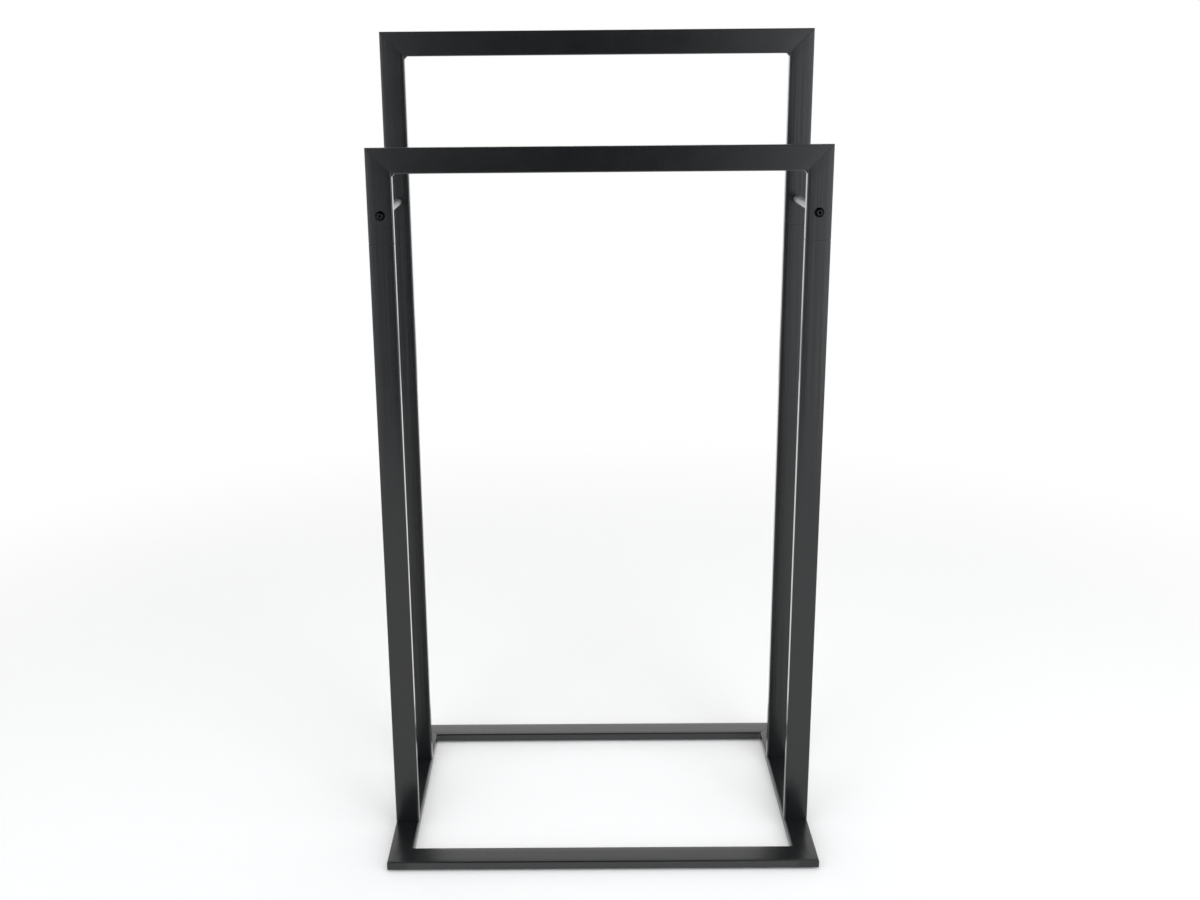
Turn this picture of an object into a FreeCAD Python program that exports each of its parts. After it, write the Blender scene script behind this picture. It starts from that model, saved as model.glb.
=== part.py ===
import FreeCAD, Part
import math
import os
import Sketcher
from FreeCAD import Placement, Rotation, Vector

# Freestanding towel stand of flat steel tube, in millimetres.
# Origin: on the floor, at the centre of the footprint. +X is the stand's right as seen from the front,
# +Y goes back, +Z goes up. The low U frame is in front, at -Y.

SIZES = [
    ("overall_width", "450", "across the base, the legs and the rails"),
    ("overall_depth", "280", "base frame, front to rear"),
    ("leg_length", "636.5", "top of the base to the seam where the U frames plug on"),
    ("front_post_length", "92", "seam to the top of the front rail"),
    ("rear_post_length", "202", "seam to the top of the rear rail"),
    ("leg_inset", "72", "end of the base to the nearest face of a leg"),
    ("tube_width", "25", "flat tube, wide side"),
    ("tube_depth", "10", "flat tube, thin side"),
    ("tube_wall", "1.2", "flat tube, wall"),
    ("edge_radius", "1.5", "flat tube, outer long edges"),
    ("weld_leg", "3", "bead inside a mitred corner, along each tube"),
    ("spigot_down", "45", "spigot, length inside the leg"),
    ("spigot_up", "45", "spigot, length inside the post"),
    ("sliding_gap", "0.15", "around a spigot or foot nut in its tube"),
    ("lock_rise", "27", "seam to the axis of the lock screws and rods"),
    ("rod_diameter", "8", "cross rod"),
    ("rod_chamfer", "0.5", "cross rod, end edges"),
    ("tap_depth", "13", "cross rod, depth of the tapped end"),
    ("lock_thread", "5", "lock screw, M5"),
    ("lock_reach", "10", "lock screw, length inside the rod"),
    ("lock_head", "9.5", "lock screw, head diameter"),
    ("lock_head_height", "2.75", "lock screw, head height"),
    ("lock_socket", "3", "lock screw, socket across its flats"),
    ("lock_socket_depth", "1.6", "lock screw, socket depth"),
    ("bolt_thread", "6", "base bolt, M6"),
    ("bolt_reach", "14", "base bolt, length inside the foot nut"),
    ("bolt_head", "10.5", "base bolt, head diameter"),
    ("bolt_head_height", "3.3", "base bolt, head height"),
    ("bolt_socket", "4", "base bolt, socket across its flats"),
    ("bolt_socket_depth", "2", "base bolt, socket depth"),
    ("head_rim", "0.6", "straight rim under the dome of a screw head"),
    ("tip_chamfer", "0.6", "end of a screw's thread"),
    ("tap_gap", "0.1", "tapped hole over its screw, on the diameter"),
    ("hole_gap", "0.5", "plain hole over its screw, on the diameter"),
    ("access_gap", "1.5", "hole below a base bolt over its head, on the diameter"),
    ("foot_nut_height", "20", "tapped block in the bottom of a leg"),
    ("pad_diameter", "18", "rubber pad"),
    ("pad_thickness", "1.5", "rubber pad"),
    ("pad_chamfer", "0.3", "rubber pad, lower edge"),
]

doc = FreeCAD.newDocument("towel_stand")
sheet = doc.addObject("Spreadsheet::Sheet", "Sizes")
for row, (alias, number, note) in enumerate(SIZES, 1):
    sheet.set(f"A{row}", alias)
    sheet.set(f"B{row}", number)
    sheet.set(f"C{row}", note)
    sheet.setAlias(f"B{row}", alias)
doc.recompute()

# Places worked out from the sizes.
side_x = "Sizes.overall_width / 2"
end_y = "Sizes.overall_depth / 2"
post_x = "(Sizes.overall_width - Sizes.tube_width) / 2"
pad_y = "(Sizes.overall_depth - Sizes.tube_width) / 2"
leg_y = "(Sizes.overall_depth / 2 - Sizes.leg_inset - Sizes.tube_depth / 2)"
leg_face_y = "(Sizes.overall_depth / 2 - Sizes.leg_inset)"
base_middle = "Sizes.pad_thickness + Sizes.tube_depth / 2"
base_top = "Sizes.pad_thickness + Sizes.tube_depth"
seam_height = "(Sizes.pad_thickness + Sizes.tube_depth + Sizes.leg_length)"
lock_height = f"{seam_height} + Sizes.lock_rise"
rod_length = "(Sizes.overall_depth - 2 * Sizes.leg_inset - 2 * Sizes.tube_depth)"
inner_width = "(Sizes.tube_width - 2 * Sizes.tube_wall)"
inner_depth = "(Sizes.tube_depth - 2 * Sizes.tube_wall)"
leg_hole_at = ("Sizes.leg_inset + Sizes.tube_depth / 2",
               "Sizes.overall_depth - Sizes.leg_inset - Sizes.tube_depth / 2")

RIGHT, LEFT = Vector(1, 0, 0), Vector(-1, 0, 0)
BACK, FRONT = Vector(0, 1, 0), Vector(0, -1, 0)
UP, DOWN = Vector(0, 0, 1), Vector(0, 0, -1)

touching = 1e-6

parts = []


def number(expression):
    return float(sheet.evalExpression(expression))


def own_axis(letter):
    """A sketch's own axes, as its constraints number them."""
    return {"x": -1, "y": -2}[letter]


def origin():
    return start(own_axis("x"))


def start(edge):
    return edge, 1


def end(edge):
    return edge, 2


def centre(curve):
    return curve, 3


def new_body(label):
    body = doc.addObject("PartDesign::Body", label)
    body.Label = label
    parts.append(body)
    return body


def plane(body, role):
    return next(item for item in body.Origin.OriginFeatures if item.Role == role), [""]


def place(body, x, y, z, x_points=RIGHT, y_points=BACK):
    """Turns the body so that its own X and Y point as given, with its origin at x, y, z."""
    turn = Rotation(x_points, y_points, x_points.cross(y_points), "XYZ")
    body.Placement = Placement(Vector(), turn)
    for axis, expression in (("x", x), ("y", y), ("z", z)):
        body.setExpression(f"Placement.Base.{axis}", expression)


def new_sketch(body, role, shift=("0", "0", "0")):
    """A sketch on one of the body's own planes, its origin shifted within that plane's frame."""
    sketch = body.newObject("Sketcher::SketchObject", "Sketch")
    sketch.AttachmentSupport = plane(body, role)
    sketch.MapMode = "FlatFace"
    for axis, expression in zip("xyz", shift):
        if expression != "0":
            sketch.setExpression(f"AttachmentOffset.Base.{axis}", expression)
    return sketch


def bind(sketch, kind, point, expression):
    """A dimension from the sketch's origin to a point, driven by the spreadsheet."""
    index = sketch.addConstraint(Sketcher.Constraint(kind, *origin(), *point, number(expression)))
    sketch.setExpression(f"Constraints[{index}]", expression)


def outline(sketch, corners):
    """A closed outline. A corner is (x, y), or (x, y, "dome") where the edge that leads to it is an arc
    about a centre on the sketch's vertical axis."""
    at = [Vector(number(corner[0]), number(corner[1]), 0) for corner in corners]
    count = len(corners)
    edges = []
    for here in range(count):
        ahead = (here + 1) % count
        if corners[ahead][2:] == ("dome",):
            low, high = at[here], at[ahead]
            middle = (high.x ** 2 - low.x ** 2 + high.y ** 2 - low.y ** 2) / (2 * (high.y - low.y))
            circle = Part.Circle(Vector(0, middle, 0), UP, math.hypot(low.x, low.y - middle))
            arc = Part.ArcOfCircle(circle, math.atan2(low.y - middle, low.x),
                                   math.atan2(high.y - middle, high.x))
            edges.append(sketch.addGeometry(arc))
            sketch.addConstraint(Sketcher.Constraint("PointOnObject", *centre(edges[-1]), own_axis("y")))
        else:
            edges.append(sketch.addGeometry(Part.LineSegment(at[here], at[ahead])))
    for here in range(count):
        sketch.addConstraint(Sketcher.Constraint("Coincident", *end(edges[here - 1]), *start(edges[here])))
    for here, corner in enumerate(corners):
        for axis, kind, level, zero in ((0, "DistanceX", "Vertical", own_axis("y")),
                                        (1, "DistanceY", "Horizontal", own_axis("x"))):
            straight_in = here > 0 and corner[2:] != ("dome",)
            straight_out = here == count - 1 and corners[0][2:] != ("dome",)
            if straight_in and corners[here - 1][axis] == corner[axis]:
                sketch.addConstraint(Sketcher.Constraint(level, edges[here - 1]))
            elif straight_out and corners[0][axis] == corner[axis]:
                sketch.addConstraint(Sketcher.Constraint(level, edges[here]))
            elif corner[axis] == "0":
                sketch.addConstraint(Sketcher.Constraint("PointOnObject", *start(edges[here]), zero))
            else:
                bind(sketch, kind, start(edges[here]), corner[axis])


def circle(sketch, x, y, diameter):
    index = sketch.addGeometry(Part.Circle(Vector(number(x), number(y), 0), UP, number(diameter) / 2))
    for kind, expression, zero in (("DistanceX", x, own_axis("y")), ("DistanceY", y, own_axis("x"))):
        if expression == "0":
            sketch.addConstraint(Sketcher.Constraint("PointOnObject", *centre(index), zero))
        else:
            bind(sketch, kind, centre(index), expression)
    size = sketch.addConstraint(Sketcher.Constraint("Diameter", index, number(diameter)))
    sketch.setExpression(f"Constraints[{size}]", diameter)


def hexagon(sketch, across_flats):
    """A hexagon about the sketch's origin, on a construction circle through its corners."""
    across_corners = f"({across_flats}) / cos(30 deg)"
    radius = number(across_corners) / 2
    ring = sketch.addGeometry(Part.Circle(Vector(), UP, radius), True)
    sketch.addConstraint(Sketcher.Constraint("Coincident", *centre(ring), *origin()))
    size = sketch.addConstraint(Sketcher.Constraint("Diameter", ring, 2 * radius))
    sketch.setExpression(f"Constraints[{size}]", across_corners)
    corners = [Rotation(UP, 60 * step).multVec(Vector(radius, 0, 0)) for step in range(6)]
    sides = [sketch.addGeometry(Part.LineSegment(corners[step - 1], corners[step])) for step in range(6)]
    for step in range(6):
        sketch.addConstraint(Sketcher.Constraint("Coincident", *end(sides[step - 1]), *start(sides[step])))
        sketch.addConstraint(Sketcher.Constraint("PointOnObject", *start(sides[step]), ring))
    for side in sides[1:]:
        sketch.addConstraint(Sketcher.Constraint("Equal", sides[0], side))
    sketch.addConstraint(Sketcher.Constraint("PointOnObject", *end(sides[0]), own_axis("x")))


def pad(body, sketch, length, both_ways=False):
    feature = body.newObject("PartDesign::Pad", "Pad")
    feature.Profile = sketch
    feature.SideType = "Symmetric" if both_ways else "One side"
    feature.setExpression("Length", length)
    doc.recompute()
    return feature


def pocket(body, sketch, length, both_ways=False, upwards=False):
    before = body.Shape.Volume
    feature = body.newObject("PartDesign::Pocket", "Pocket")
    feature.Profile = sketch
    feature.SideType = "Symmetric" if both_ways else "One side"
    feature.Reversed = upwards
    feature.setExpression("Length", length)
    doc.recompute()
    if body.Shape.Volume >= before:
        raise RuntimeError(f"{body.Label}: a pocket removes nothing")
    return feature


def turned(body, profile, x="0", y="0"):
    """A solid of revolution about the body's own Z direction through x, y."""
    sketch = new_sketch(body, "XZ_Plane", (x, "0", f"-({y})"))
    outline(sketch, profile)
    feature = body.newObject("PartDesign::Revolution", "Revolution")
    feature.Profile = sketch
    feature.ReferenceAxis = (sketch, ["V_Axis"])
    doc.recompute()
    return feature


def mirrored(body, features, *roles):
    """Repeats the features across one or two of the body's own planes, as separate solids."""
    body.AllowCompound = True
    pattern = body.newObject("PartDesign::MultiTransform", "Mirrors")
    pattern.Originals = features
    mirrors = []
    for role in roles:
        mirror = body.newObject("PartDesign::Mirrored", "Mirror")
        mirror.MirrorPlane = plane(body, role)
        mirrors.append(mirror)
    pattern.Transformations = mirrors
    body.Tip = pattern
    doc.recompute()


def flat_tube(label, length, mitred_start=False, mitred_end=False):
    """A flat tube along its own X. Its outer edge lies on Y = 0, its width goes to +Y, and its depth is
    centred on Z = 0. A mitred end is cut at 45 degrees, so that its inner edge is the shorter one."""
    body = new_body(label)
    inner_start = "Sizes.tube_width" if mitred_start else "0"
    inner_end = f"{length} - Sizes.tube_width" if mitred_end else length
    shape = new_sketch(body, "XY_Plane")
    outline(shape, [("0", "0"), (length, "0"),
                    (inner_end, "Sizes.tube_width"), (inner_start, "Sizes.tube_width")])
    pad(body, shape, "Sizes.tube_depth", both_ways=True)
    hollow = new_sketch(body, "XY_Plane")
    near, far = "Sizes.tube_wall", "Sizes.tube_width - Sizes.tube_wall"
    beyond = f"{length} + Sizes.tube_wall"
    outline(hollow, [("-Sizes.tube_wall", near), (beyond, near), (beyond, far), ("-Sizes.tube_wall", far)])
    feature = pocket(body, hollow, inner_depth, both_ways=True)
    skin = number("Sizes.tube_depth") / 2
    long_edges = []
    for index, edge in enumerate(feature.Shape.Edges, 1):
        box = edge.BoundBox
        along_x = box.YLength + box.ZLength < touching
        if along_x and abs(abs(box.Center.z) - skin) < touching:
            long_edges.append(f"Edge{index}")
    rounding = body.newObject("PartDesign::Fillet", "Rounding")
    rounding.Base = (feature, long_edges)
    rounding.setExpression("Radius", "Sizes.edge_radius")
    doc.recompute()
    return body


def drill_post(body):
    """The plain hole for the lock screw, through both walls."""
    hole = new_sketch(body, "XY_Plane")
    circle(hole, "Sizes.lock_rise", "Sizes.tube_width / 2", "Sizes.lock_thread + Sizes.hole_gap")
    pocket(body, hole, "Sizes.tube_depth", both_ways=True)


def drill_side_bar(body):
    """Under each leg, a plain hole in the top wall and a wider one below that lets the bolt's head in."""
    above = new_sketch(body, "XY_Plane")
    below = new_sketch(body, "XY_Plane")
    for along in leg_hole_at:
        circle(above, along, "Sizes.tube_width / 2", "Sizes.bolt_thread + Sizes.hole_gap")
        circle(below, along, "Sizes.tube_width / 2", "Sizes.bolt_head + Sizes.access_gap")
    pocket(body, above, "Sizes.tube_depth", upwards=True)
    pocket(body, below, "Sizes.tube_depth")


def button_screw(body, x, y, prefix, through):
    """A button-head screw. Its head stands up from Z = 0 and its thread goes down."""
    radius = f"Sizes.{prefix}_thread / 2"
    head = f"Sizes.{prefix}_head / 2"
    top = f"Sizes.{prefix}_head_height"
    tip = f"-({through} + Sizes.{prefix}_reach)"
    shape = turned(body, [
        ("0", tip),
        (f"{radius} - Sizes.tip_chamfer", tip),
        (radius, f"{tip} + Sizes.tip_chamfer"),
        (radius, "0"),
        (head, "0"),
        (head, "Sizes.head_rim"),
        ("0", top, "dome"),
    ], x, y)
    socket = new_sketch(body, "XY_Plane", (x, y, top))
    hexagon(socket, f"Sizes.{prefix}_socket")
    recess = pocket(body, socket, f"Sizes.{prefix}_socket_depth")
    return [shape, recess]


def base_bars():
    across = "Sizes.overall_width"
    deep = "Sizes.overall_depth"
    front = flat_tube("base_front_bar", across, True, True)
    place(front, f"-{side_x}", f"-{end_y}", base_middle, RIGHT, BACK)
    rear = flat_tube("base_rear_bar", across, True, True)
    place(rear, side_x, end_y, base_middle, LEFT, FRONT)
    left = flat_tube("base_left_bar", deep, True, True)
    drill_side_bar(left)
    place(left, f"-{side_x}", end_y, base_middle, FRONT, RIGHT)
    right = flat_tube("base_right_bar", deep, True, True)
    drill_side_bar(right)
    place(right, side_x, f"-{end_y}", base_middle, BACK, LEFT)


def u_frame(prefix, y):
    """A rail and its two posts, mitred at the upper corners."""
    post_length = f"Sizes.{prefix}_post_length"
    rail = flat_tube(f"{prefix}_rail", "Sizes.overall_width", True, True)
    place(rail, f"-{side_x}", y, f"{seam_height} + {post_length}", RIGHT, DOWN)
    for side, x, inwards in (("left", f"-{side_x}", RIGHT), ("right", side_x, LEFT)):
        post = flat_tube(f"{prefix}_{side}_post", post_length, mitred_end=True)
        drill_post(post)
        place(post, x, y, seam_height, UP, inwards)


def lower_legs():
    for side, x, inwards in (("left", f"-{side_x}", RIGHT), ("right", side_x, LEFT)):
        for row, y in (("front", f"-{leg_y}"), ("rear", leg_y)):
            leg = flat_tube(f"{side}_{row}_leg", "Sizes.leg_length")
            place(leg, x, y, base_top, UP, inwards)


def spigots():
    """Flat bars inside the seams, with a hole that lets the lock screw pass."""
    for side, x in (("left", f"-{post_x}"), ("right", post_x)):
        for row, y in (("front", f"-{leg_y}"), ("rear", leg_y)):
            body = new_body(f"{side}_{row}_spigot")
            half = f"({inner_width} / 2 - Sizes.sliding_gap)"
            shape = new_sketch(body, "XZ_Plane")
            outline(shape, [(f"-{half}", "-Sizes.spigot_down"), (half, "-Sizes.spigot_down"),
                            (half, "Sizes.spigot_up"), (f"-{half}", "Sizes.spigot_up")])
            pad(body, shape, f"{inner_depth} - 2 * Sizes.sliding_gap", both_ways=True)
            hole = new_sketch(body, "XZ_Plane")
            circle(hole, "0", "Sizes.lock_rise", "Sizes.lock_thread + Sizes.hole_gap")
            pocket(body, hole, "Sizes.tube_depth", both_ways=True)
            place(body, x, y, seam_height)


def foot_nuts():
    """Tapped blocks in the bottom ends of the legs, flush with the legs' lower faces."""
    for side, x in (("left", f"-{post_x}"), ("right", post_x)):
        for row, y in (("front", f"-{leg_y}"), ("rear", leg_y)):
            body = new_body(f"{side}_{row}_foot_nut")
            half_x = f"({inner_width} / 2 - Sizes.sliding_gap)"
            half_y = f"({inner_depth} / 2 - Sizes.sliding_gap)"
            shape = new_sketch(body, "XY_Plane")
            outline(shape, [(f"-{half_x}", f"-{half_y}"), (half_x, f"-{half_y}"),
                            (half_x, half_y), (f"-{half_x}", half_y)])
            circle(shape, "0", "0", "Sizes.bolt_thread + Sizes.tap_gap")
            pad(body, shape, "Sizes.foot_nut_height")
            place(body, x, y, base_top)


def cross_rods():
    """Round bars between the posts, tapped at both ends for the lock screws."""
    for side, x in (("left", f"-{post_x}"), ("right", post_x)):
        body = new_body(f"{side}_cross_rod")
        edge, tap = "Sizes.rod_diameter / 2", "(Sizes.lock_thread + Sizes.tap_gap) / 2"
        chamfered = f"{edge} - Sizes.rod_chamfer"
        turned(body, [
            ("0", "Sizes.tap_depth"),
            (tap, "Sizes.tap_depth"),
            (tap, "0"),
            (chamfered, "0"),
            (edge, "Sizes.rod_chamfer"),
            (edge, f"{rod_length} - Sizes.rod_chamfer"),
            (chamfered, rod_length),
            (tap, rod_length),
            (tap, f"{rod_length} - Sizes.tap_depth"),
            ("0", f"{rod_length} - Sizes.tap_depth"),
        ])
        place(body, x, f"-{rod_length} / 2", lock_height, RIGHT, DOWN)


def lock_screws():
    """Heads on the outer faces of the posts, threads in the cross rods."""
    for row, y, turn in (("front", f"-{leg_face_y}", UP), ("rear", leg_face_y, DOWN)):
        body = new_body(f"{row}_lock_screws")
        features = button_screw(body, post_x, "0", "lock", "Sizes.tube_depth")
        mirrored(body, features, "YZ_Plane")
        place(body, "0", y, lock_height, RIGHT, turn)


def base_bolts():
    """Heads inside the side bars against their top walls, threads in the foot nuts."""
    body = new_body("base_bolts")
    features = button_screw(body, post_x, leg_y, "bolt", "Sizes.tube_wall")
    mirrored(body, features, "YZ_Plane", "XZ_Plane")
    place(body, "0", "0", f"{base_top} - Sizes.tube_wall", RIGHT, FRONT)


def base_pads():
    body = new_body("base_pads")
    edge = "Sizes.pad_diameter / 2"
    disc = turned(body, [
        ("0", "0"),
        (f"{edge} - Sizes.pad_chamfer", "0"),
        (edge, "Sizes.pad_chamfer"),
        (edge, "Sizes.pad_thickness"),
        ("0", "Sizes.pad_thickness"),
    ], post_x, pad_y)
    mirrored(body, [disc], "YZ_Plane", "XZ_Plane")
    place(body, "0", "0", "0")


def weld_bead(body, role, corner_x, corner_y):
    """A three-cornered bead in an inner corner, between the rounded edges of the tubes."""
    shape = new_sketch(body, role)
    outline(shape, [(corner_x, corner_y), (f"{corner_x} - Sizes.weld_leg", corner_y),
                    (corner_x, f"{corner_y} - Sizes.weld_leg")])
    return pad(body, shape, "Sizes.tube_depth - 2 * Sizes.edge_radius", both_ways=True)


def corner_welds():
    inner_x = f"{side_x} - Sizes.tube_width"
    base = new_body("base_corner_welds")
    bead = weld_bead(base, "XY_Plane", inner_x, f"{end_y} - Sizes.tube_width")
    mirrored(base, [bead], "YZ_Plane", "XZ_Plane")
    place(base, "0", "0", base_middle)
    for row, y in (("front", f"-{leg_y}"), ("rear", leg_y)):
        frame = new_body(f"{row}_frame_welds")
        bead = weld_bead(frame, "XZ_Plane", inner_x, f"Sizes.{row}_post_length - Sizes.tube_width")
        mirrored(frame, [bead], "YZ_Plane")
        place(frame, "0", y, seam_height)


base_bars()
lower_legs()
u_frame("front", f"-{leg_y}")
u_frame("rear", leg_y)
spigots()
foot_nuts()
cross_rods()
lock_screws()
base_bolts()
base_pads()
corner_welds()
doc.recompute()

for item in doc.Objects:
    if "Invalid" in item.State or "Error" in item.State:
        raise RuntimeError(f"{item.Label} failed: {item.State}")
for body in parts:
    if body.Shape.isNull() or not body.Shape.isValid():
        raise RuntimeError(f"{body.Label} has no valid shape")

os.makedirs("parts", exist_ok=True)
for body in parts:
    body.Shape.exportStep(f"parts/{body.Label}.step")
print(f"{len(parts)} nodes, {sum(len(body.Shape.Solids) for body in parts)} solids")
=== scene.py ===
import math

import bmesh
import bpy
from mathutils import Matrix, Vector


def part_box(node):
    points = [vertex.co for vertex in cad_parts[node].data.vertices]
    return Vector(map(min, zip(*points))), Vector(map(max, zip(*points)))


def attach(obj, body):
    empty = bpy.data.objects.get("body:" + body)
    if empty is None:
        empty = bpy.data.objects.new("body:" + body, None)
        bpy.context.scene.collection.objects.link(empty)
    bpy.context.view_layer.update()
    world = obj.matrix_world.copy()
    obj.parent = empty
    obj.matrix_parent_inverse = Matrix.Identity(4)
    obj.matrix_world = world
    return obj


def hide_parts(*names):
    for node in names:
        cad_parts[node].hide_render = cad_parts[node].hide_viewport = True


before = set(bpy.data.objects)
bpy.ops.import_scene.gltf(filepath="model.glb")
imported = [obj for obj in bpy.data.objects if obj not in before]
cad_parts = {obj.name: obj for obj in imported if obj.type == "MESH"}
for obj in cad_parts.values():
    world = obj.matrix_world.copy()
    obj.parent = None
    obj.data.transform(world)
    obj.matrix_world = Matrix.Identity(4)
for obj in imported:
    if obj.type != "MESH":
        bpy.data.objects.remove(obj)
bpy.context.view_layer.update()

mm = 0.001  # one millimetre in the scene's metres
right = Vector((1, 0, 0))
back = Vector((0, 1, 0))
up = Vector((0, 0, 1))
noiseRange = {"From Min": 0.3, "From Max": 0.7}  # most values of a noise texture lie between these


def centreOf(node):
    # the middle of a CAD node's box
    low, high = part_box(node)
    return (low + high) / 2


def addObject(name, data):
    added = bpy.data.objects.new(name, data)
    bpy.context.scene.collection.objects.link(added)
    return added


def toLinear(hexColour):
    # an sRGB hex such as "#1a1b1c" as the linear colour that a shader socket takes
    steps = [int(hexColour[i:i + 2], 16) / 255 for i in (1, 3, 5)]
    light = [s / 12.92 if s <= 0.04045 else ((s + 0.055) / 1.055) ** 2.4 for s in steps]
    return (*light, 1.0)


def perMetre(size):
    # the texture scale that gives marks of this size in millimetres
    return 1 / (size * mm)


def addNode(tree, kind, inputs=None, **settings):
    # an input is a plain value, or another node's output, which is linked; a node stands for its first output
    node = tree.nodes.new(kind)
    for name, value in settings.items():
        setattr(node, name, value)
    for key, value in (inputs or {}).items():
        if isinstance(value, bpy.types.Node):
            value = value.outputs[0]
        if isinstance(value, bpy.types.NodeSocket):
            tree.links.new(value, node.inputs[key])
        else:
            node.inputs[key].default_value = value
    return node


def newFinish(name):
    # an empty material, its tree, and the Object coordinates that its patterns lie on
    finish = bpy.data.materials.new(name)
    finish.use_nodes = True
    tree = finish.node_tree
    tree.nodes.clear()
    place = addNode(tree, "ShaderNodeTexCoord").outputs["Object"]
    return finish, tree, place


def blackPowderCoat(name, along):
    # Satin polyester powder coat baked on rolled steel tube: near black, with a soft broad shine, a faint
    # orange peel from the powder's flow, a fine grain that breaks up the shine, and the rolling lines of the
    # steel, which still show through the thin coat along the tube. Real grain and lines are too fine to show
    # at this distance, so both are drawn coarser.
    coat = {
        "colour": "#121314", "thinColour": "#18191a", "cloud": 55,
        "gloss": 0.22, "dull": 0.27, "bloom": 22,
        "peel": 2.4, "peelHeight": 0.004, "grain": 0.5, "grainHeight": 0.0008,
        "line": 2.6, "lineHeight": 0.09, "lineStretch": 0.012, "ior": 1.52,
    }
    finish, tree, place = newFinish(name)
    cloud = addNode(tree, "ShaderNodeTexNoise", {
        "Vector": place, "Scale": perMetre(coat["cloud"]), "Detail": 3.0, "Roughness": 0.55})
    tone = addNode(tree, "ShaderNodeMix", {
        "Factor": cloud.outputs["Fac"], "A": toLinear(coat["colour"]),
        "B": toLinear(coat["thinColour"])}, data_type="RGBA")
    bloom = addNode(tree, "ShaderNodeTexNoise", {
        "Vector": place, "Scale": perMetre(coat["bloom"]), "Detail": 4.0, "Roughness": 0.6})
    shine = addNode(tree, "ShaderNodeMapRange", {
        "Value": bloom.outputs["Fac"], **noiseRange, "To Min": coat["gloss"], "To Max": coat["dull"]})
    peel = addNode(tree, "ShaderNodeTexNoise", {
        "Vector": place, "Scale": perMetre(coat["peel"]), "Detail": 1.0, "Roughness": 0.4})
    grain = addNode(tree, "ShaderNodeTexNoise", {
        "Vector": place, "Scale": perMetre(coat["grain"]), "Detail": 2.0, "Roughness": 0.5})
    peelBump = addNode(tree, "ShaderNodeBump", {
        "Height": peel.outputs["Fac"], "Distance": coat["peelHeight"] * mm})
    grainBump = addNode(tree, "ShaderNodeBump", {
        "Height": grain.outputs["Fac"], "Distance": coat["grainHeight"] * mm,
        "Normal": peelBump.outputs["Normal"]})
    rolled = addNode(tree, "ShaderNodeMapping", {
        "Vector": place, "Scale": [coat["lineStretch"] if part else 1.0 for part in along]})
    line = addNode(tree, "ShaderNodeTexNoise", {
        "Vector": rolled, "Scale": perMetre(coat["line"]), "Detail": 2.0, "Roughness": 0.6})
    lineBump = addNode(tree, "ShaderNodeBump", {
        "Height": line.outputs["Fac"], "Distance": coat["lineHeight"] * mm,
        "Normal": grainBump.outputs["Normal"]})
    shader = addNode(tree, "ShaderNodeBsdfPrincipled", {
        "Base Color": tone.outputs["Result"], "Roughness": shine.outputs["Result"],
        "IOR": coat["ior"], "Normal": lineBump.outputs["Normal"]})
    addNode(tree, "ShaderNodeOutputMaterial", {"Surface": shader.outputs["BSDF"]})
    return finish


def blackenedScrewSteel(axis):
    # Hardened screw steel with a thin black conversion film: metal that looks nearly black, smoother than
    # the coat. The flat ring round the socket carries a painted highlight: a lighter colour, broken into
    # patches, that stands in for the light the ring catches. Small handling marks, drawn coarser than they
    # are, break up the shine. The axis is that of the right screws, and the left ones mirror it.
    film = {
        # the lighter colour is a painted highlight for the flat ring round the socket
        "colour": "#090a0b", "highlightColour": "#3a3c3f",
        "cloud": 1.5, "patchFrom": 0.38, "patchTo": 0.52,  # the noise between which a patch fades in
        "ring": 2.15, "ringCore": 0.3, "ringEdge": 0.75,  # its radius, and where the painted highlight fades beside it
        "gloss": 0.16, "dull": 0.26, "mark": 0.35, "markHeight": 0.003,
    }
    finish, tree, place = newFinish("blackened_screw_steel")
    cloud = addNode(tree, "ShaderNodeTexNoise", {
        "Vector": place, "Scale": perMetre(film["cloud"]), "Detail": 3.0, "Roughness": 0.6})
    patch = addNode(tree, "ShaderNodeMapRange", {
        "Value": cloud.outputs["Fac"], "From Min": film["patchFrom"], "From Max": film["patchTo"]})
    mirrored = addNode(tree, "ShaderNodeVectorMath", {0: place}, operation="ABSOLUTE")
    offset = addNode(tree, "ShaderNodeVectorMath", {0: mirrored, 1: axis}, operation="SUBTRACT")
    sideways = addNode(tree, "ShaderNodeVectorMath", {0: offset, 1: right + up}, operation="MULTIPLY")
    radius = addNode(tree, "ShaderNodeVectorMath", {0: sideways}, operation="LENGTH")
    beyond = addNode(tree, "ShaderNodeMath", {0: radius.outputs["Value"], 1: film["ring"] * mm},
                     operation="SUBTRACT")
    fromRing = addNode(tree, "ShaderNodeMath", {0: beyond}, operation="ABSOLUTE")
    # painted highlight: the ring round the socket is drawn lighter, in patches, for the light that it catches
    paintedHighlight = addNode(tree, "ShaderNodeMapRange", {
        "Value": fromRing, "From Min": film["ringCore"] * mm, "From Max": film["ringEdge"] * mm,
        "To Min": patch, "To Max": 0.0})
    tone = addNode(tree, "ShaderNodeMix", {
        "Factor": paintedHighlight, "A": toLinear(film["colour"]),
        "B": toLinear(film["highlightColour"])}, data_type="RGBA")
    shine = addNode(tree, "ShaderNodeMapRange", {
        "Value": cloud.outputs["Fac"], **noiseRange, "To Min": film["gloss"], "To Max": film["dull"]})
    mark = addNode(tree, "ShaderNodeTexNoise", {
        "Vector": place, "Scale": perMetre(film["mark"]), "Detail": 2.0, "Roughness": 0.5})
    bump = addNode(tree, "ShaderNodeBump", {
        "Height": mark.outputs["Fac"], "Distance": film["markHeight"] * mm})
    shader = addNode(tree, "ShaderNodeBsdfPrincipled", {
        "Base Color": tone.outputs["Result"], "Metallic": 1.0,
        "Roughness": shine.outputs["Result"], "Normal": bump.outputs["Normal"]})
    addNode(tree, "ShaderNodeOutputMaterial", {"Surface": shader.outputs["BSDF"]})
    return finish


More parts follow.
